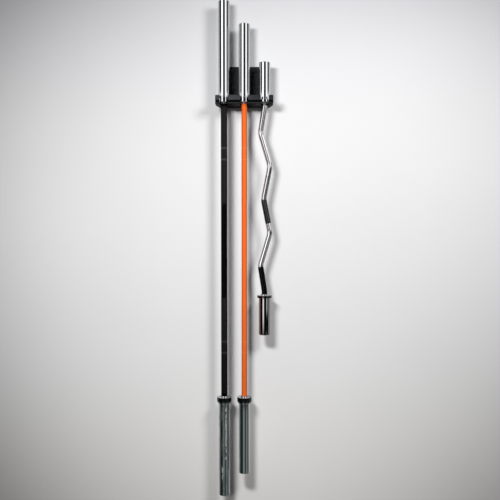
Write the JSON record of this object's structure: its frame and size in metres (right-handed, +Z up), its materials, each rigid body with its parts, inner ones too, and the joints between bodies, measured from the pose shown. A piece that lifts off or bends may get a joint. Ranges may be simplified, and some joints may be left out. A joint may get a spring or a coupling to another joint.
{
  "type": "wall barbell storage rack",
  "caption": "Folded steel wall bracket that stores barbells upright: each bar's shaft drops into an open slot and its upper collar rests on the shelf behind a raised lip.",
  "frame": {"origin": "middle of the wall plate's flat back face, where it lies on the wall", "axes": "+Z up along the bars, +Y into the wall (the outward normal of the back face), +X to the viewer's right when facing the rack"},
  "size_m": [0.254, 0.127, 2.2],
  "materials": {
    "powder_coat": "satin charcoal powder coat with a fine texture",
    "soft_plastic": "black slippery plastic",
    "black_zinc": "black zinc plate",
    "chrome_sleeve": "bright hard chrome with rub marks from plates",
    "chrome_collar": "bright hard chrome",
    "hub_steel": "turned and ground bearing steel",
    "bronze_bushing": "sintered bronze, oiled",
    "spring_steel": "phosphated spring steel",
    "black_grip": "black coated steel with a diamond knurl",
    "orange_grip": "orange baked coating over a diamond knurl",
    "chrome_grip": "bright chrome, smooth bends and knurled grips"
  },
  "bodies": {
    "rack": {"rack_bracket": "powder_coat", "left_bar_seat_pad": "soft_plastic", "middle_bar_seat_pad": "soft_plastic", "curl_bar_seat_pad": "soft_plastic", "upper_left_screw": "black_zinc", "upper_right_screw": "black_zinc", "lower_left_screw": "black_zinc", "lower_right_screw": "black_zinc", "upper_left_washer": "black_zinc", "upper_right_washer": "black_zinc", "lower_left_washer": "black_zinc", "lower_right_washer": "black_zinc"},
    "left_bar": {"left_bar_shaft": "black_grip", "left_bar_upper_snap_ring": "spring_steel", "left_bar_lower_snap_ring": "spring_steel"},
    "left_bar_upper_end": {"left_bar_upper_sleeve": "chrome_sleeve", "left_bar_upper_collar": "chrome_collar", "left_bar_upper_inner_bushing": "hub_steel", "left_bar_upper_outer_bushing": "bronze_bushing", "left_bar_upper_end_cap": "chrome_sleeve"},
    "left_bar_lower_end": {"left_bar_lower_sleeve": "chrome_sleeve", "left_bar_lower_collar": "chrome_collar", "left_bar_lower_inner_bushing": "hub_steel", "left_bar_lower_outer_bushing": "bronze_bushing", "left_bar_lower_end_cap": "chrome_sleeve"},
    "middle_bar": {"middle_bar_shaft": "orange_grip", "middle_bar_upper_snap_ring": "spring_steel", "middle_bar_lower_snap_ring": "spring_steel"},
    "middle_bar_upper_end": {"middle_bar_upper_sleeve": "chrome_sleeve", "middle_bar_upper_collar": "chrome_collar", "middle_bar_upper_inner_bushing": "hub_steel", "middle_bar_upper_outer_bushing": "bronze_bushing", "middle_bar_upper_end_cap": "chrome_sleeve"},
    "middle_bar_lower_end": {"middle_bar_lower_sleeve": "chrome_sleeve", "middle_bar_lower_collar": "chrome_collar", "middle_bar_lower_inner_bushing": "hub_steel", "middle_bar_lower_outer_bushing": "bronze_bushing", "middle_bar_lower_end_cap": "chrome_sleeve"},
    "curl_bar": {"curl_bar_shaft": "chrome_grip", "curl_bar_upper_snap_ring": "spring_steel", "curl_bar_lower_snap_ring": "spring_steel"},
    "curl_bar_upper_end": {"curl_bar_upper_sleeve": "chrome_sleeve", "curl_bar_upper_collar": "chrome_collar", "curl_bar_upper_inner_bushing": "hub_steel", "curl_bar_upper_outer_bushing": "bronze_bushing", "curl_bar_upper_end_cap": "chrome_sleeve"},
    "curl_bar_lower_end": {"curl_bar_lower_sleeve": "chrome_sleeve", "curl_bar_lower_collar": "chrome_collar", "curl_bar_lower_inner_bushing": "hub_steel", "curl_bar_lower_outer_bushing": "bronze_bushing", "curl_bar_lower_end_cap": "chrome_sleeve"}
  },
  "joints": [
    {"name": "left_bar_lift", "type": "slide", "parent": "rack", "child": "left_bar", "axis": [0, 0, 1], "range_m": [0, 0.035]},
    {"name": "left_bar_upper_spin", "type": "hinge", "parent": "left_bar", "child": "left_bar_upper_end", "pos_m": [-0.09, -0.085, 0.1], "axis": [0, 0, 1], "continuous": true},
    {"name": "left_bar_lower_spin", "type": "hinge", "parent": "left_bar", "child": "left_bar_lower_end", "pos_m": [-0.09, -0.085, -1.5], "axis": [0, 0, 1], "continuous": true},
    {"name": "middle_bar_lift", "type": "slide", "parent": "rack", "child": "middle_bar", "axis": [0, 0, 1], "range_m": [0, 0.035]},
    {"name": "middle_bar_upper_spin", "type": "hinge", "parent": "middle_bar", "child": "middle_bar_upper_end", "pos_m": [0, -0.085, 0.1], "axis": [0, 0, 1], "continuous": true},
    {"name": "middle_bar_lower_spin", "type": "hinge", "parent": "middle_bar", "child": "middle_bar_lower_end", "pos_m": [0, -0.085, -1.5], "axis": [0, 0, 1], "continuous": true},
    {"name": "curl_bar_lift", "type": "slide", "parent": "rack", "child": "curl_bar", "axis": [0, 0, 1], "range_m": [0, 0.035]},
    {"name": "curl_bar_upper_spin", "type": "hinge", "parent": "curl_bar", "child": "curl_bar_upper_end", "pos_m": [0.09, -0.085, 0.1], "axis": [0, 0, 1], "continuous": true},
    {"name": "curl_bar_lower_spin", "type": "hinge", "parent": "curl_bar", "child": "curl_bar_lower_end", "pos_m": [0.09, -0.085, -1], "axis": [0, 0, 1], "continuous": true}
  ]
}
